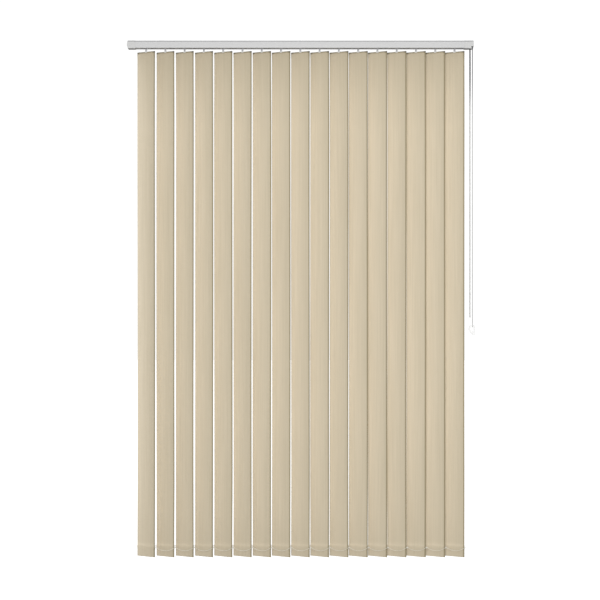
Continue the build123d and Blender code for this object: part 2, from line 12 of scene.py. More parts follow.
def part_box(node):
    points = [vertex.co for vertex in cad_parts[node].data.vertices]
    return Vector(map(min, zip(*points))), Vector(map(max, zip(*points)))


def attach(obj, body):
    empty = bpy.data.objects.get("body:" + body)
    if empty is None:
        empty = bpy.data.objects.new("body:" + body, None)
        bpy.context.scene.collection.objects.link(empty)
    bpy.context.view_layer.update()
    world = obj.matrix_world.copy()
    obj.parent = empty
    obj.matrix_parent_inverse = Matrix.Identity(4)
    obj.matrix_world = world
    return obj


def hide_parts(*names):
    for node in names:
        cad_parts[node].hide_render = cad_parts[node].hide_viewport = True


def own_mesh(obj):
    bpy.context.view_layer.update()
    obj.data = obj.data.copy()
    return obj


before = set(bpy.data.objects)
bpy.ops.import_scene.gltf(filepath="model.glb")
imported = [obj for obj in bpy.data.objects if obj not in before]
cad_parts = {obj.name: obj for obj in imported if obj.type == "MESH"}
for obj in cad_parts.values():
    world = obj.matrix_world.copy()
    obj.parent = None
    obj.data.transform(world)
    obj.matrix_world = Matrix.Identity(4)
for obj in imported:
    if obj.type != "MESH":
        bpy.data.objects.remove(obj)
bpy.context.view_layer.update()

# ---------------------------------------------------------------- camera
# A long lens, level and square to the blind, a little below the middle of its height.
eye = bpy.data.objects.new("eye", bpy.data.cameras.new("eye"))
bpy.context.scene.collection.objects.link(eye)
eye.location = (-0.0016, -7.0, -1.0473)
eye.rotation_euler = (math.pi / 2, 0, 0)
eye.data.sensor_width = 36.0
eye.data.lens = 103.8
eye.data.clip_end = 60.0
bpy.context.scene.camera = eye


# ---------------------------------------------------------------- tilt chain
# A loop of moulded beads on a thread, which turns the chain wheel and so the louvres.
# The beads are white plastic, with painted shade that darkens them close under the rail.
CHAIN_DIAMETER = 0.0045
CHAIN_PITCH = 0.005
CHAIN_THREAD = 0.0026
BEAD_SIDES = 8
BEAD_RINGS = 6
THREAD_SIDES = 5
# The colour of painted shade close under the rail, on the chain and cord.
SHADE_UNDER_RAIL = (0.025, 0.028, 0.028)
# The colour of painted shade along the top of the rail and its end caps.
SHADE_ON_RAIL_TOP = (0.26, 0.26, 0.265)
ROUGHNESS_SPREAD = 0.08
MARK_DEPTH = 0.0004
chain_route = [
    (0.687, -0.0012, -0.0155),
    (0.687, -0.0012, -1.0900),
    (0.687, -0.0012, -1.11655),
    (0.687, 0.0178, -1.11655),
    (0.687, 0.0178, -1.0900),
    (0.687, 0.0178, -0.0155),
]
WHEEL_BEAD_PITCH = 0.00483
wheel_route = [
    (0.687, -0.0012, -0.0155),
    (0.687, -0.0012, -0.0060),
    (0.687, 0.0178, -0.0060),
    (0.687, 0.0178, -0.0155),
]


def deselect():
    """Leaves nothing selected, so that an operator acts on the next piece alone."""
    for each in bpy.context.selected_objects:
        each.select_set(False)


def make_active(piece):
    """Selects one piece only."""
    deselect()
    piece.select_set(True)
    bpy.context.view_layer.objects.active = piece


def mesh_piece(name, points, faces, around=None):
    """A mesh object at the origin; around gives each point its place on the piece's own map."""
    mesh = bpy.data.meshes.new(name)
    mesh.from_pydata([tuple(p) for p in points], [], faces)
    if around:
        layer = mesh.uv_layers.new(name="UVMap")
        for loop in mesh.loops:
            layer.data[loop.index].uv = around[loop.vertex_index]
    mesh.update()
    piece = bpy.data.objects.new(name, mesh)
    bpy.context.scene.collection.objects.link(piece)
    return piece


def smooth(piece, degrees=40):
    """Smooth shading, broken at edges sharper than this."""
    make_active(piece)
    bpy.ops.object.shade_smooth_by_angle(angle=math.radians(degrees))


def line_through(route, steps=24):
    """Points along the smooth line that a cord's route gives."""
    data = bpy.data.curves.new("line", "CURVE")
    data.dimensions = "3D"
    data.resolution_u = steps
    spline = data.splines.new("NURBS")
    spline.points.add(len(route) - 1)
    for place, point in zip(spline.points, route):
        place.co = (*point, 1)
    spline.order_u = 3
    spline.use_endpoint_u = True
    line = bpy.data.objects.new("line", data)
    mesh = bpy.data.meshes.new_from_object(line)
    points = [v.co.copy() for v in mesh.vertices]
    bpy.data.meshes.remove(mesh)
    bpy.data.objects.remove(line)
    bpy.data.curves.remove(data)
    return points


def spaced(points, step, start=0.0):
    """Places a step apart along a line, each with the line's direction there."""
    places, ahead = [], start
    for here, there in zip(points, points[1:]):
        length = (there - here).length
        way = (there - here).normalized()
        while ahead <= length:
            places.append((here + way * ahead, way))
            ahead += step
        ahead -= length
    return places


def turns_along(ways):
    """Turns from Z to each direction in a row, with no sudden twist from one to the next."""
    turns = [ways[0].to_track_quat("Z", "Y")]
    for before, after in zip(ways, ways[1:]):
        turns.append(before.rotation_difference(after) @ turns[-1])
    return turns


def ring(place, turn, radius, sides):
    """Points round a line, at a place on it."""
    spokes = [2 * math.pi * i / sides for i in range(sides)]
    return [place + turn @ Vector((radius * math.cos(a), radius * math.sin(a), 0)) for a in spokes]


def pipe_faces(first, rings, sides):
    """The wall and the closed ends of a pipe, whose rings of points start at a point's number."""
    faces = []
    for row in range(rings - 1):
        for i in range(sides):
            a = first + row * sides + i
            b = first + row * sides + (i + 1) % sides
            faces.append((a, b, b + sides, a + sides))
    last = first + (rings - 1) * sides
    faces.append(tuple(first + i for i in reversed(range(sides))))
    faces.append(tuple(last + i for i in range(sides)))
    return faces


def beads(name, places, diameter, thread):
    """Small balls moulded on a thread, in one mesh."""
    deselect()
    bpy.ops.mesh.primitive_uv_sphere_add(
        segments=BEAD_SIDES, ring_count=BEAD_RINGS, radius=diameter / 2
    )
    ball = bpy.context.object
    shape = [v.co.copy() for v in ball.data.vertices]
    shape_faces = [tuple(p.vertices) for p in ball.data.polygons]
    bpy.data.objects.remove(ball)
    points, faces = [], []
    spots = [place for place, way in places]
    turns = turns_along([way for place, way in places])
    for spot, turn in zip(spots, turns):
        first = len(points)
        points += [spot + turn @ co for co in shape]
        faces += [tuple(first + i for i in face) for face in shape_faces]
    first = len(points)
    for spot, turn in zip(spots, turns):
        points += ring(spot, turn, thread / 2, THREAD_SIDES)
    faces += pipe_faces(first, len(spots), THREAD_SIDES)
    piece = mesh_piece(name, points, faces)
    smooth(piece, 60)
    return piece


def maths(tree, operation, first, second=None):
    """The result of a sum on one or two numbers, each given or taken from another node."""
    node = tree.nodes.new("ShaderNodeMath")
    node.operation = operation
    for socket, value in zip(node.inputs, (first, second)):
        if isinstance(value, float):
            socket.default_value = value
        elif value is not None:
            tree.links.new(value, socket)
    return node.outputs[0]


def rising(tree, value, low, high, most=1.0, eased=False):
    """A tone that rises from 0 to its most while a value goes from low to high."""
    node = tree.nodes.new("ShaderNodeMapRange")
    if eased:
        node.interpolation_type = "SMOOTHSTEP"
    node.inputs["From Min"].default_value = low
    node.inputs["From Max"].default_value = high
    node.inputs["To Max"].default_value = most
    tree.links.new(value, node.inputs["Value"])
    return node.outputs["Result"]


def marks_group():
    """Fine marks from moulding, drawing or painting: a tone and a height over the surface."""
    group = bpy.data.node_groups.new("surface_marks", "ShaderNodeTree")
    group.interface.new_socket("Scale", in_out="INPUT", socket_type="NodeSocketFloat")
    group.interface.new_socket("Stretch", in_out="INPUT", socket_type="NodeSocketVector")
    group.interface.new_socket("Tone", in_out="OUTPUT", socket_type="NodeSocketFloat")
    group.interface.new_socket("Height", in_out="OUTPUT", socket_type="NodeSocketFloat")
    nodes, links = group.nodes, group.links
    given = nodes.new("NodeGroupInput")
    result = nodes.new("NodeGroupOutput")
    place = nodes.new("ShaderNodeTexCoord")
    drawn = nodes.new("ShaderNodeVectorMath")
    drawn.operation = "MULTIPLY"
    links.new(place.outputs["Object"], drawn.inputs[0])
    links.new(given.outputs["Stretch"], drawn.inputs[1])
    broad = nodes.new("ShaderNodeTexNoise")
    broad.inputs["Detail"].default_value = 3.0
    links.new(drawn.outputs[0], broad.inputs["Vector"])
    links.new(given.outputs["Scale"], broad.inputs["Scale"])
    links.new(broad.outputs["Fac"], result.inputs["Tone"])
    fine = nodes.new("ShaderNodeTexNoise")
    fine.inputs["Detail"].default_value = 2.0
    links.new(drawn.outputs[0], fine.inputs["Vector"])
    links.new(maths(group, "MULTIPLY", given.outputs["Scale"], 7.0), fine.inputs["Scale"])
    links.new(fine.outputs["Fac"], result.inputs["Height"])
    return group


def height_group(name, middle, near, far):
    """A tone that is 0 near a height, above and below it, and rises to 1 farther off."""
    group = bpy.data.node_groups.new(name, "ShaderNodeTree")
    group.interface.new_socket("Tone", in_out="OUTPUT", socket_type="NodeSocketFloat")
    result = group.nodes.new("NodeGroupOutput")
    place = group.nodes.new("ShaderNodeTexCoord")
    apart = group.nodes.new("ShaderNodeSeparateXYZ")
    group.links.new(place.outputs["Object"], apart.inputs[0])
    off = maths(group, "ABSOLUTE", maths(group, "SUBTRACT", apart.outputs["Z"], middle))
    group.links.new(rising(group, off, near, far, eased=True), result.inputs["Tone"])
    return group


surface_marks = marks_group()
# Where painted shade falls under the rail, on the chain and cord.
under_rail_shade_tone = height_group("under_rail_shade_tone", middle=0.0, near=0.12, far=0.33)
# Where painted shade falls along the top of the rail and its end caps.
rail_top_shade_tone = height_group("rail_top_shade_tone", middle=-0.0029, near=0.0012, far=0.0022)


def placed_group(material, group):
    """Puts a node group in a material."""
    node = material.node_tree.nodes.new("ShaderNodeGroup")
    node.node_tree = group
    return node


def blend_colours(material, first, second, tone):
    """A colour between two, by a tone from 0 to 1."""
    node = material.node_tree.nodes.new("ShaderNodeMix")
    node.data_type = "RGBA"
    for socket, colour in ((node.inputs["A"], first), (node.inputs["B"], second)):
        if isinstance(colour, tuple):
            socket.default_value = (*colour, 1)
        else:
            material.node_tree.links.new(colour, socket)
    material.node_tree.links.new(tone, node.inputs["Factor"])
    return node.outputs["Result"]


def marked_material(
    name, shade, colour, roughness, scale, stretch=(1, 1, 1), relief=0.05, metallic=0.0
):
    """A finish with fine marks: its colour, roughness and height all vary a little with them."""
    material = bpy.data.materials.new(name)
    material.use_nodes = True
    nodes, links = material.node_tree.nodes, material.node_tree.links
    surface = nodes["Principled BSDF"]
    marks = placed_group(material, surface_marks)
    marks.inputs["Scale"].default_value = scale
    marks.inputs["Stretch"].default_value = stretch
    toned = blend_colours(material, shade, colour, marks.outputs["Tone"])
    links.new(toned, surface.inputs["Base Color"])
    rough = nodes.new("ShaderNodeMapRange")
    rough.inputs["To Min"].default_value = roughness - ROUGHNESS_SPREAD
    rough.inputs["To Max"].default_value = roughness + ROUGHNESS_SPREAD
    links.new(marks.outputs["Tone"], rough.inputs["Value"])
    links.new(rough.outputs["Result"], surface.inputs["Roughness"])
    bump = nodes.new("ShaderNodeBump")
    bump.inputs["Strength"].default_value = relief
    bump.inputs["Distance"].default_value = MARK_DEPTH
    links.new(marks.outputs["Height"], bump.inputs["Height"])
    links.new(bump.outputs["Normal"], surface.inputs["Normal"])
    surface.inputs["Metallic"].default_value = metallic
    return material


def shaded_near(material, height_tone, grey):
    """Paints shade on a finish near a height."""
    base = material.node_tree.nodes["Principled BSDF"].inputs["Base Color"]
    tone = placed_group(material, height_tone)
    shaded = blend_colours(material, grey, base.links[0].from_socket, tone.outputs["Tone"])
    material.node_tree.links.new(shaded, base)


bead_plastic = marked_material("bead_plastic", (0.66, 0.66, 0.65), (0.80, 0.80, 0.79), 0.5, 300.0)
# Painted shade darkens the beads close under the rail.
shaded_near(bead_plastic, under_rail_shade_tone, SHADE_UNDER_RAIL)


def dress(piece, material, body, slot, *nodes):
    """Gives a piece its finish, the body that it moves with and the nodes that it stands for."""
    piece.data.materials.clear()
    piece.data.materials.append(material)
    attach(piece, body)
    if nodes:
        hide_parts(*nodes)


chain_line = line_through(chain_route)
tilt_chain = beads("tilt_chain_loop", spaced(chain_line, CHAIN_PITCH), CHAIN_DIAMETER, CHAIN_THREAD)
dress(tilt_chain, bead_plastic, "rail", "chain_plastic", "tilt_chain")

wheel_places = spaced(line_through(wheel_route), WHEEL_BEAD_PITCH, WHEEL_BEAD_PITCH)
wheel_beads = beads("tilt_chain_over_wheel", wheel_places, CHAIN_DIAMETER, CHAIN_THREAD)
dress(wheel_beads, bead_plastic, "rail", "chain_plastic", "tilt_chain")

# ---------------------------------------------------------------- draw cord
# A braided polyester cord, 2 mm thick: it runs along the rail and round the return pulley,
# and hangs as a loop from the control end cap, pulled straight by its weight.
CORD_DIAMETER = 0.002
BRAID_STRANDS = 4
BRAID_STEP = 0.0022
TOUCHING = 1e-6
cord_route = [
    (0.695, -0.0165, -0.0233),
    (0.695, -0.0165, -1.1450),
    (0.695, -0.0165, -1.1570),
    (0.695, -0.0085, -1.1570),
    (0.695, -0.0085, -1.1450),
    (0.695, -0.0085, -0.0233),
]
rail_route = [
    (0.695, -0.0165, -0.0233),
    (0.695, -0.0165, -0.0036),
    (0.675, -0.0165, -0.0036),
    (-0.6500, -0.0165, -0.0036),
    (-0.6636, -0.0165, -0.0036),
    (-0.6636, -0.0165, -0.0148),
    (-0.6500, -0.0165, -0.0148),
    (0.6690, -0.0165, -0.0148),
    (0.6950, -0.0085, -0.0148),
    (0.6950, -0.0085, -0.0233),
]


def tube(name, points, diameter, sides=12):
    """A round tube along a line, closed at both ends, its UV running round and along it."""
    kept = [points[0]] + [b for a, b in zip(points, points[1:]) if (b - a).length > TOUCHING]
    verts, around, along = [], [], 0.0
    neighbours = zip([kept[0]] + kept, kept[1:] + [kept[-1]])
    ways = [(after - before).normalized() for before, after in neighbours]
    for i, (place, turn) in enumerate(zip(kept, turns_along(ways))):
        along += (place - kept[i - 1]).length if i else 0.0
        verts += ring(place, turn, diameter / 2, sides)
        around += [(j / sides, along) for j in range(sides)]
    piece = mesh_piece(name, verts, pipe_faces(0, len(kept), sides), around)
    smooth(piece, 60)
    return piece


def thread_wave(tree, turns):
    """A wave over a piece's own map, which turns this many times for each unit of the map."""
    place = tree.nodes.new("ShaderNodeTexCoord")
    run = tree.nodes.new("ShaderNodeVectorMath")
    run.operation = "DOT_PRODUCT"
    run.inputs[1].default_value = (2 * math.pi * turns[0], 2 * math.pi * turns[1], 0)
    tree.links.new(place.outputs["UV"], run.inputs[0])
    return maths(tree, "SINE", run.outputs["Value"])


def braid_material():
    """Braided thread: two sets of strands that wind round the cord opposite ways."""
    material = marked_material("braided_cord", (0.42, 0.42, 0.41), (0.52, 0.52, 0.51), 0.75, 500.0)
    tree = material.node_tree
    surface = tree.nodes["Principled BSDF"]
    right, left = (thread_wave(tree, (BRAID_STRANDS * way, 1 / BRAID_STEP)) for way in (1, -1))
    bump = surface.inputs["Normal"].links[0].from_node
    bump.inputs["Strength"].default_value = 0.6
    bump.inputs["Distance"].default_value = 0.0002
    tree.links.new(maths(tree, "MAXIMUM", right, left), bump.inputs["Height"])
    surface.inputs["Sheen Weight"].default_value = 0.1
    # Painted shade darkens the cord close under the rail.
    shaded_near(material, under_rail_shade_tone, SHADE_UNDER_RAIL)
    return material


braided_cord = braid_material()
cord_line = line_through(cord_route)
draw_cord = tube("draw_cord_loop", cord_line, CORD_DIAMETER)
dress(draw_cord, braided_cord, "rail", "cord_white", "draw_cord")
cord_in_rail = tube("draw_cord_in_rail", line_through(rail_route), CORD_DIAMETER, 8)
dress(cord_in_rail, braided_cord, "rail", "cord_white", "draw_cord")


def softened(node, name, width, segments=2):
    """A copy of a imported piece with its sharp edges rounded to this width."""
    piece = bpy.data.objects.new(name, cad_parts[node].data.copy())
    bpy.context.scene.collection.objects.link(piece)
    return round_edges(piece, width, segments)


def round_edges(piece, width, segments=2):
    """Joins a mesh's loose triangles, clears its flat faces and rounds its sharp edges."""
    make_active(piece)
    bpy.ops.object.mode_set(mode="EDIT")
    bpy.ops.mesh.select_all(action="SELECT")
    bpy.ops.mesh.remove_doubles(threshold=TOUCHING)
    bpy.ops.mesh.dissolve_limited(angle_limit=math.radians(0.5))
    bpy.ops.object.mode_set(mode="OBJECT")
    if piece.data.has_custom_normals:
        bpy.ops.mesh.customdata_custom_splitnormals_clear()
    smooth(piece, 35)
    bevel = piece.modifiers.new("rounded", "BEVEL")
    bevel.width = width
    bevel.segments = segments
    bevel.limit_method = "ANGLE"
    bevel.angle_limit = math.radians(40)
    bevel.harden_normals = True
    bpy.ops.object.modifier_apply(modifier=bevel.name)
    return piece


# The cord's weight is a moulded ring; the loop passes under the round waist of its top bar.
cord_weight = softened("cord_weight", "cord_weight_ring", 0.0012, 3)
dress(cord_weight, bead_plastic, "rail", "moulded_white", "cord_weight")

# ---------------------------------------------------------------- bottom chains
# Sixteen short bead chains, each from one louvre's room-side hook to the next louvre's.
# They are moulded in cream white, and close up when the louvres are drawn together.
LOUVRES = 17
LOUVRE_PITCH = 0.078
FIRST_LOUVRE = -LOUVRE_PITCH * (LOUVRES - 1) / 2
LOUVRE_ANGLE = math.radians(33)
HOOK_OUT = 0.050
HOOK_HEIGHT = -2.0452
LINK_DIAMETER = 0.002
LINK_THREAD = 0.0006
LINK_PITCH = 0.0026
CLIP_THICKNESS = 0.00115
CLIP_STEP = 0.00015
CLIP_RING_RADIUS = 0.00165
CLIP_WIRE_RADIUS = 0.00045
CLIP_NECK = (0.0014, 0.0016, 0.0009)
CLIP_NECK_OUT = 0.0026
CLIP_NECK_EDGE = 0.0002
CHAIN_START = 0.00275
CHAIN_DIP = 0.012

cream_plastic = marked_material("cream_plastic", (0.74, 0.71, 0.61), (0.84, 0.81, 0.71), 0.4, 300.0)


def hook_place(number):
    """The room-side hook of a louvre at rest."""
    x = FIRST_LOUVRE + (number - 1) * LOUVRE_PITCH + HOOK_OUT * math.cos(LOUVRE_ANGLE)
    return Vector((x, -HOOK_OUT * math.sin(LOUVRE_ANGLE), HOOK_HEIGHT))


def copied(piece, name, shift):
    """A copy of a piece with its own mesh, moved by a shift."""
    twin = bpy.data.objects.new(name, piece.data.copy())
    twin.data.transform(Matrix.Translation(shift))
    bpy.context.scene.collection.objects.link(twin)
    return twin


def chain_clip(name, heights):
    """Rings that snap on a hook, each at its height, with a flat neck towards its own chain."""
    made = []
    for height, way in heights:
        deselect()
        bpy.ops.mesh.primitive_torus_add(
            major_segments=20,
            minor_segments=8,
            major_radius=CLIP_RING_RADIUS,
            minor_radius=CLIP_WIRE_RADIUS,
            location=hook_place(1) + Vector((0, 0, height)),
        )
        made.append(bpy.context.object)
        bpy.ops.mesh.primitive_cube_add(
            size=1,
            location=hook_place(1) + Vector((way * CLIP_NECK_OUT, 0, height)),
            scale=CLIP_NECK,
        )
        neck = bpy.context.object
        bpy.ops.object.transform_apply()
        bpy.ops.object.mode_set(mode="EDIT")
        bpy.ops.mesh.select_all(action="SELECT")
        bpy.ops.mesh.bevel(offset=CLIP_NECK_EDGE, segments=2, affect="EDGES")
        bpy.ops.object.mode_set(mode="OBJECT")
        made.append(neck)
    deselect()
    for each in made:
        each.select_set(True)
    bpy.context.view_layer.objects.active = made[0]
    bpy.ops.object.join()
    clip = bpy.context.object
    bpy.ops.object.transform_apply()
    clip.name = name
    smooth(clip)
    return clip


upper_clip = CLIP_THICKNESS / 2 + CLIP_STEP
lower_clip = -upper_clip
first_hook = hook_place(1)
chain_points = [
    (first_hook.x + CHAIN_START, first_hook.y, first_hook.z + lower_clip),
    (first_hook.x + LOUVRE_PITCH * 0.25, first_hook.y, first_hook.z + lower_clip - CHAIN_DIP),
    (first_hook.x + LOUVRE_PITCH * 0.75, first_hook.y, first_hook.z + lower_clip - CHAIN_DIP),
    (first_hook.x + LOUVRE_PITCH - CHAIN_START, first_hook.y, first_hook.z + upper_clip),
]
link_line = line_through(chain_points)
first_chain = beads("links", spaced(link_line, LINK_PITCH), LINK_DIAMETER, LINK_THREAD)
clip_shapes = {
    "first": chain_clip("clip_first", [(lower_clip, 1)]),
    "middle": chain_clip("clip_middle", [(lower_clip, 1), (upper_clip, -1)]),
    "last": chain_clip("clip_last", [(upper_clip, -1)]),
}
for number in range(1, LOUVRES + 1):
    shift = Vector(((number - 1) * LOUVRE_PITCH, 0, 0))
    end = "first" if number == 1 else "last" if number == LOUVRES else "middle"
    clip = copied(clip_shapes[end], f"chain_clip_{number:02d}", shift)
    body = f"bottom_chain_{number:02d}" if number < LOUVRES else f"louvre_{number:02d}"
    dress(clip, cream_plastic, body, "chain_plastic")
    if number == LOUVRES:
        continue
    node = f"bottom_chain_{number:02d}"
    run = copied(first_chain, f"{node}_links", shift)
    dress(run, cream_plastic, node, "chain_plastic", node)
    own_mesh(run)
for pattern in (first_chain, *clip_shapes.values()):
    bpy.data.objects.remove(pattern)

# ---------------------------------------------------------------- headrail
# An extruded aluminium channel, powder coated white, with a slot below for the carriers' stems
# and a channel on top for the mounting clips.
rail_paint = marked_material(
    "rail_paint",
    (0.43, 0.43, 0.43),
    (0.51, 0.51, 0.51),
    roughness=0.5,
    scale=60.0,
    stretch=(0.15, 1, 1),
    relief=0.03,
)
# Painted shade along the top of the rail.
shaded_near(rail_paint, rail_top_shade_tone, SHADE_ON_RAIL_TOP)
headrail = softened("headrail", "headrail_channel", 0.0003)
dress(headrail, rail_paint, "rail", "rail_white", "headrail")

# ---------------------------------------------------------------- end caps
# Moulded caps plugged in the rail's ends: one holds the controls, the other the return pulley.
moulded_white = marked_material(
    "moulded_white", (0.43, 0.43, 0.425), (0.51, 0.51, 0.505), 0.5, 160.0
)
# Painted shade along the top of the end caps.
shaded_near(moulded_white, rail_top_shade_tone, SHADE_ON_RAIL_TOP)
control_cap = softened("control_end_cap", "control_end_cap_cover", 0.0005)
dress(control_cap, moulded_white, "rail", "moulded_white", "control_end_cap")
idle_cap = softened("idle_end_cap", "idle_end_cap_cover", 0.0005)
dress(idle_cap, moulded_white, "rail", "moulded_white", "idle_end_cap")

# ---------------------------------------------------------------- mounting clips
# Pressed steel plates, zinc plated, twisted in the rail's top channel and screwed to the ceiling.
zinc_steel = marked_material(
    "zinc_steel",
    (0.42, 0.43, 0.44),
    (0.62, 0.62, 0.61),
    roughness=0.35,
    scale=220.0,
    stretch=(1, 0.2, 1),
    metallic=1.0,
)
clips = softened("mounting_clips", "mounting_clip_plates", 0.0003)
dress(clips, zinc_steel, "rail", "clip_steel", "mounting_clips")

# ---------------------------------------------------------------- tilt drive and return pulley
# A drawn aluminium rod through all the worms, turned by the chain wheel on its end.
# The return pulley turns the draw cord back at the idle end.
drawn_rod = marked_material(
    "drawn_rod",
    (0.52, 0.53, 0.54),
    (0.74, 0.75, 0.76),
    roughness=0.3,
    scale=400.0,
    stretch=(0.02, 1, 1),
    metallic=1.0,
)
tilt_rod = softened("tilt_rod", "tilt_rod_bar", 0.0003)
dress(tilt_rod, drawn_rod, "tilt_drive", "rod_aluminium", "tilt_rod")
chain_wheel = softened("chain_wheel", "chain_wheel_disc", 0.0003)
dress(chain_wheel, moulded_white, "tilt_drive", "moulded_white", "chain_wheel")
return_pulley = softened("return_pulley", "return_pulley_disc", 0.0002)
dress(return_pulley, moulded_white, "draw_pulley", "moulded_white", "return_pulley")

# ---------------------------------------------------------------- carriers
# Moulded trucks on four rollers, each with a worm on the rod and a spacer strip to its neighbour.
carrier_plastic = marked_material(
    "carrier_plastic", (0.66, 0.66, 0.64), (0.80, 0.80, 0.78), 0.55, 200.0
)
for number in range(1, LOUVRES + 1):
    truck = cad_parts[f"carrier_{number:02d}"]
    truck.data.materials.clear()
    truck.data.materials.append(carrier_plastic)

# ---------------------------------------------------------------- louvres
# Stiffened woven polyester in beige, 89 mm wide. Its ends are folded back and welded to make
# a pocket for the hanger at the top and one for the weight at the bottom.
CLOTH_WIDTH = 0.089
CLOTH_LENGTH = 2.042
CLOTH_THICKNESS = 0.00045
# The pockets: their depth, the room in them, where their welds end and how they fold.
TOP_POCKET = 0.028
BOTTOM_POCKET = 0.050
TOP_GAP = 0.0018
BOTTOM_GAP = 0.0020
TAB_OPENING = 0.012
TOP_WELD = 0.0055
TOP_FLARE = 0.0095
BOTTOM_WELD = 0.0050
BOTTOM_FLARE = 0.0072
FOLD_START = 0.0030
FOLD_SHOULDER = 0.0009
SHOULDER_SHARE = 0.85
# The panel: its rows and columns, and how it cups, sways and curls clear of its stiff ends.
PANEL_ROWS = 76
EDGE_START = 0.0425
COLUMNS = (-0.0437, -EDGE_START, -0.039, -0.033, -0.026, -0.018, -0.011)
STIFF_END = 0.30
HOOK_REACH = 0.012
CLOTH_CUP = 0.0016
CUP_SPREAD = 0.25
SWAY = 0.0010
LEAN = 0.0008
EDGE_PINCH = 0.6
EDGE_CURL = 0.0008
THREAD_STEP = 0.0009
# Heights that tell the solids of a packed louvre apart.
STEM_ABOVE = -0.025
HANGER_ABOVE = -0.040
HANGER_LOWEST = -0.1
WEIGHT_BELOW = -1.5
cloth_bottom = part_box("louvre_01")[0].z
cloth_top = cloth_bottom + CLOTH_LENGTH
louvre_across = Vector((math.cos(LOUVRE_ANGLE), -math.sin(LOUVRE_ANGLE), 0))
louvre_through = Vector((math.sin(LOUVRE_ANGLE), math.cos(LOUVRE_ANGLE), 0))


def pocket_rows(welded, out, heights, layer):
    """One pocket's section from its hem to the panel, round the fold at height 0.

    Each row gives how far the cloth stands to the hem's side and its distance from the fold.
    """
    hem, weld = heights[:2]
    hem_side = [(welded, hem), (welded, weld)] + [(out, height) for height in heights[2:]]
    fold = [(out * SHOULDER_SHARE, FOLD_SHOULDER), (0.0, layer)]
    fold.append((-out * SHOULDER_SHARE, FOLD_SHOULDER))
    panel_side = [(-out, height) for height in reversed(heights[2:])]
    return hem_side + fold + panel_side + [(0.0, weld), (0.0, hem)]


def cloth_path():
    """The cloth's section from the top hem, over the hanger, down the panel and round the weight.

    Each row gives how far the cloth stands towards the window and its height.
    """
    layer = CLOTH_THICKNESS / 2
    welded = CLOTH_THICKNESS * 1.1
    top = (TOP_POCKET, TOP_POCKET - TOP_WELD, TOP_POCKET - TOP_FLARE, 0.010, FOLD_START)
    low = (BOTTOM_POCKET, BOTTOM_POCKET - BOTTOM_WELD, BOTTOM_POCKET - BOTTOM_FLARE)
    low += (0.034, 0.028, 0.012, FOLD_START)
    over = pocket_rows(welded, TOP_GAP / 2 + layer, top, layer)
    under = pocket_rows(welded, BOTTOM_GAP / 2 + layer, low, layer)
    panel = CLOTH_LENGTH - TOP_POCKET - BOTTOM_POCKET
    rows = [(out, cloth_top - height) for out, height in over]
    for i in range(1, PANEL_ROWS):
        rows.append((0.0, cloth_top - TOP_POCKET - panel * i / PANEL_ROWS))
    rows += [(out, cloth_bottom + height) for out, height in reversed(under)]
    return rows


def ease(value):
    """0 below 0, 1 above 1 and smooth between."""
    value = min(max(value, 0.0), 1.0)
    return value * value * (3 - 2 * value)


def cloth_sheet(name, number):
    """One louvre's cloth: a folded strip, slightly cupped between its stiff ends."""
    half = CLOTH_WIDTH / 2
    across = [-half, *COLUMNS, -TAB_OPENING / 2]
    columns = across + [0.0] + [-s for s in reversed(across)]
    rows = cloth_path()
    lean = math.sin(2.4 * number)
    place = Vector((FIRST_LOUVRE + (number - 1) * LOUVRE_PITCH, 0, 0))
    points, around, along = [], [], 0.0
    for i, (out, z) in enumerate(rows):
        if i:
            along += math.hypot(out - rows[i - 1][0], z - rows[i - 1][1])
        from_top = (cloth_top - TOP_POCKET - z) / STIFF_END
        from_bottom = (z - cloth_bottom - BOTTOM_POCKET) / STIFF_END
        free = ease(min(from_top, from_bottom))
        at_hooks = abs(z - HOOK_HEIGHT) < HOOK_REACH
        for s in columns:
            edge = ease((abs(s) - EDGE_START) / (half - EDGE_START))
            spread = out if at_hooks else out * (1 - EDGE_PINCH * edge)
            cup = CLOTH_CUP * (1 + CUP_SPREAD * lean) * (1 - (s / half) ** 2)
            sway = SWAY * math.sin(2.1 * z + 1.7 * number) + LEAN * lean * s / half
            stand = spread + free * (cup - sway) + EDGE_CURL * free * edge * (s > 0)
            points.append(place + louvre_across * s + louvre_through * stand + Vector((0, 0, z)))
            around.append((s, along))
    wide = len(columns)
    middle = wide // 2
    faces = []
    fold_height = cloth_top - FOLD_START - 0.0001
    for row in range(len(rows) - 1):
        in_fold = min(rows[row][1], rows[row + 1][1]) >= fold_height
        for i in range(wide - 1):
            if in_fold and i in (middle - 1, middle):
                continue
            a = row * wide + i
            faces.append((a, a + 1, a + 1 + wide, a + wide))
    piece = mesh_piece(name, points, faces, around)
    solid = piece.modifiers.new("cloth", "SOLIDIFY")
    solid.thickness = CLOTH_THICKNESS
    solid.offset = 0.0
    solid.use_even_offset = True
    make_active(piece)
    bpy.ops.object.modifier_apply(modifier=solid.name)
    smooth(piece, 50)
    return piece


def weave_group():
    """Plain weave with slubs: threads both ways, and thicker threads that run along the cloth."""
    group = bpy.data.node_groups.new("plain_weave", "ShaderNodeTree")
    group.interface.new_socket("Thread", in_out="OUTPUT", socket_type="NodeSocketFloat")
    group.interface.new_socket("Slub", in_out="OUTPUT", socket_type="NodeSocketFloat")
    nodes, links = group.nodes, group.links
    result = nodes.new("NodeGroupOutput")
    warp = thread_wave(group, (1 / THREAD_STEP, 0))
    weft = thread_wave(group, (0, 1 / THREAD_STEP))
    links.new(maths(group, "MULTIPLY", warp, weft), result.inputs["Thread"])
    place = nodes.new("ShaderNodeTexCoord")
    drawn = nodes.new("ShaderNodeMapping")
    drawn.inputs["Scale"].default_value = (150.0, 150.0, 3.5)
    links.new(place.outputs["Object"], drawn.inputs["Vector"])
    slub = nodes.new("ShaderNodeTexNoise")
    slub.inputs["Scale"].default_value = 1.0
    slub.inputs["Detail"].default_value = 4.0
    links.new(drawn.outputs[0], slub.inputs["Vector"])
    links.new(slub.outputs["Fac"], result.inputs["Slub"])
    return group


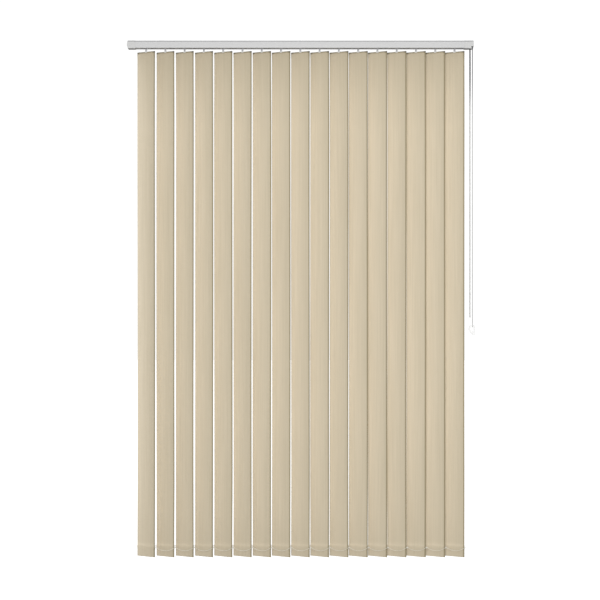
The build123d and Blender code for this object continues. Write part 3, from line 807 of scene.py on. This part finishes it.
def cloth_material():
    """Beige cloth: woven relief and soft streaks along it, with painted shade across it, along its
    room-side edge, towards both ends and in its top corners; a darker line at the top fold and a
    darker band over the bottom pocket.
    """
    material = bpy.data.materials.new("louvre_cloth")
    material.use_nodes = True
    tree = material.node_tree
    nodes, links = tree.nodes, tree.links
    surface = nodes["Principled BSDF"]
    weave = placed_group(material, weave_group())
    marks = placed_group(material, surface_marks)
    marks.inputs["Scale"].default_value = 9.0
    marks.inputs["Stretch"].default_value = (2.2, 2.2, 0.12)
    place = nodes.new("ShaderNodeTexCoord")
    on_cloth = nodes.new("ShaderNodeSeparateXYZ")
    links.new(place.outputs["UV"], on_cloth.inputs[0])
    hung = nodes.new("ShaderNodeSeparateXYZ")
    links.new(place.outputs["Object"], hung.inputs[0])
    sideways, height = on_cloth.outputs["X"], hung.outputs["Z"]
    half = CLOTH_WIDTH / 2

    # The yarn's own colours, with streaks, and painted shade that darkens the cloth towards its
    # room-side edge.
    colour = blend_colours(
        material, (0.69, 0.60, 0.452), (0.79, 0.69, 0.532), marks.outputs["Tone"]
    )
    streak = rising(tree, weave.outputs["Slub"], 0.3, 0.7, most=0.30)
    colour = blend_colours(material, colour, (0.52, 0.45, 0.31), streak)
    # Painted shade across the cloth, darker towards its room-side edge.
    side = rising(tree, sideways, -half, half, most=0.50)
    colour = blend_colours(material, colour, (0.40, 0.345, 0.235), side)

    # Painted shade along the room-side edge, towards both ends and in the top corners; the ramp on
    # height also darkens a line at the top fold and a band over the bottom pocket.
    edge_shade = rising(tree, sideways, half - 0.008, half - 0.002, eased=True)
    colour = blend_colours(material, colour, (0.27, 0.225, 0.135), edge_shade)
    # Painted shade: the cloth darkens towards its top, under the rail, and towards its bottom.
    ends = nodes.new("ShaderNodeValToRGB")
    ends.color_ramp.interpolation = "LINEAR"
    tones = ((0.0, 1.0), (0.002, 0.8), (0.0035, 0.27), (0.03, 0.19), (0.085, 0.07), (0.15, 0.0))
    tones += ((0.72, 0.0), (0.91, 0.05), (0.971, 0.11), (0.9768, 0.0), (0.980, 0.16), (1.0, 0.18))
    ramp = ends.color_ramp.elements
    for position, tone in tones[1:-1]:
        ramp.new(position)
    for element, (position, tone) in zip(ramp, tones):
        element.position = position
        element.color = (tone, tone, tone, 1)
    links.new(rising(tree, height, cloth_top, cloth_bottom), ends.inputs["Fac"])
    colour = blend_colours(material, colour, (0.20, 0.165, 0.09), ends.outputs["Color"])
    # Painted shade in the cloth's top corners.
    outer = rising(tree, maths(tree, "ABSOLUTE", sideways), half - 0.014, half - 0.002)
    upper = rising(tree, height, cloth_top - 0.009, cloth_top - 0.003)
    corner = maths(tree, "MULTIPLY", outer, upper)
    colour = blend_colours(material, colour, (0.07, 0.06, 0.035), corner)
    links.new(colour, surface.inputs["Base Color"])

    bump = nodes.new("ShaderNodeBump")
    bump.inputs["Strength"].default_value = 0.5
    bump.inputs["Distance"].default_value = 0.00012
    links.new(weave.outputs["Thread"], bump.inputs["Height"])
    links.new(bump.outputs["Normal"], surface.inputs["Normal"])
    surface.inputs["Roughness"].default_value = 0.85
    surface.inputs["Sheen Weight"].default_value = 0.15
    return material


def loose_part(node, name, wanted):
    """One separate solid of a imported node, chosen by a test on its lowest and highest corners."""
    whole = bpy.data.objects.new(name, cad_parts[node].data.copy())
    bpy.context.scene.collection.objects.link(whole)
    make_active(whole)
    bpy.ops.object.mode_set(mode="EDIT")
    bpy.ops.mesh.select_all(action="SELECT")
    bpy.ops.mesh.remove_doubles(threshold=TOUCHING)
    bpy.ops.mesh.separate(type="LOOSE")
    bpy.ops.object.mode_set(mode="OBJECT")
    chosen = None
    for part in list(bpy.context.selected_objects):
        corners = [part.matrix_world @ Vector(c) for c in part.bound_box]
        low, high = Vector(map(min, zip(*corners))), Vector(map(max, zip(*corners)))
        if chosen is None and wanted(low, high):
            chosen = part
        else:
            bpy.data.objects.remove(part)
    chosen.name = name
    return chosen


louvre_cloth = cloth_material()
hanger_plastic = marked_material(
    "hanger_plastic", (0.62, 0.62, 0.60), (0.76, 0.76, 0.74), 0.5, 240.0
)
# The hook stems are white plastic; their dark grey is painted shade under the rail.
stem_painted_shade = marked_material("stem_painted_shade", (0.33, 0.33, 0.355), (0.42, 0.42, 0.45), 0.5, 240.0)
weight_metal = marked_material("weight_metal", (0.62, 0.61, 0.58), (0.78, 0.77, 0.74), 0.5, 150.0)
stem_shape = loose_part("louvre_01", "stem", lambda low, high: high.z > STEM_ABOVE)
round_edges(stem_shape, 0.00025)
hanger_shape = loose_part(
    "louvre_01",
    "hanger",
    lambda low, high: HANGER_ABOVE < high.z < STEM_ABOVE and low.z > HANGER_LOWEST,
)
round_edges(hanger_shape, 0.0003)
weight_shape = loose_part("louvre_01", "weight", lambda low, high: high.z < WEIGHT_BELOW)
round_edges(weight_shape, 0.0003)
for number in range(1, LOUVRES + 1):
    node = f"louvre_{number:02d}"
    shift = Vector(((number - 1) * LOUVRE_PITCH, 0, 0))
    for shape, title, finish, slot in (
        (stem_shape, "hook_stem", stem_painted_shade, "carrier_plastic"),
        (hanger_shape, "hanger", hanger_plastic, "carrier_plastic"),
        (weight_shape, "bottom_weight", weight_metal, "moulded_white"),
    ):
        dress(copied(shape, f"{title}_{number:02d}", shift), finish, node, slot, node)
    cloth = cloth_sheet(f"cloth_{number:02d}", number)
    dress(cloth, louvre_cloth, node, "louvre_cloth", node)
for pattern in (stem_shape, hanger_shape, weight_shape):
    bpy.data.objects.remove(pattern)

# ---------------------------------------------------------------- floor and light
# A white floor well below the blind, white surroundings, and one large soft lamp in front.
FLOOR_SIZE = 60
FLOOR_DROP = 0.25
deselect()
bpy.ops.mesh.primitive_plane_add(size=FLOOR_SIZE, location=(0, 0, cloth_bottom - FLOOR_DROP))
floor = bpy.context.object
floor.name = "floor"
white_floor = bpy.data.materials.new("white_floor")
white_floor.use_nodes = True
floor_surface = white_floor.node_tree.nodes["Principled BSDF"]
floor_surface.inputs["Base Color"].default_value = (0.45, 0.45, 0.45, 1)
floor_surface.inputs["Roughness"].default_value = 0.9
floor_surface.inputs["Specular IOR Level"].default_value = 0.0
floor_surface.inputs["Emission Color"].default_value = (1, 1, 1, 1)
floor_seen = white_floor.node_tree.nodes.new("ShaderNodeLightPath")
white_floor.node_tree.links.new(
    floor_seen.outputs["Is Camera Ray"], floor_surface.inputs["Emission Strength"]
)
floor.data.materials.append(white_floor)

world = bpy.data.worlds.new("surroundings")
bpy.context.scene.world = world
world.use_nodes = True
sky = world.node_tree.nodes["Background"]
sky.inputs["Color"].default_value = (1, 1, 1, 1)
sky.inputs["Strength"].default_value = 0.53
backdrop = world.node_tree.nodes.new("ShaderNodeBackground")
backdrop.inputs["Color"].default_value = (1, 1, 1, 1)
backdrop.inputs["Strength"].default_value = 1.05
path = world.node_tree.nodes.new("ShaderNodeLightPath")
either = world.node_tree.nodes.new("ShaderNodeMixShader")
surroundings = world.node_tree.nodes["World Output"].inputs["Surface"]
world.node_tree.links.new(path.outputs["Is Camera Ray"], either.inputs[0])
world.node_tree.links.new(sky.outputs[0], either.inputs[1])
world.node_tree.links.new(backdrop.outputs[0], either.inputs[2])
world.node_tree.links.new(either.outputs[0], surroundings)


def lamp(name, place, aim, size, power):
    """A square soft lamp at a place, turned to what it lights."""
    light = bpy.data.lights.new(name, "AREA")
    light.size = size
    light.energy = power
    holder = bpy.data.objects.new(name, light)
    bpy.context.scene.collection.objects.link(holder)
    holder.location = place
    holder.rotation_euler = (Vector(aim) - Vector(place)).to_track_quat("-Z", "Y").to_euler()


lamp("front_lamp", place=(0.3, -7.4, -0.3), aim=(0, 0, -0.9), size=3.0, power=430)
bpy.context.scene.view_settings.view_transform = "Standard"
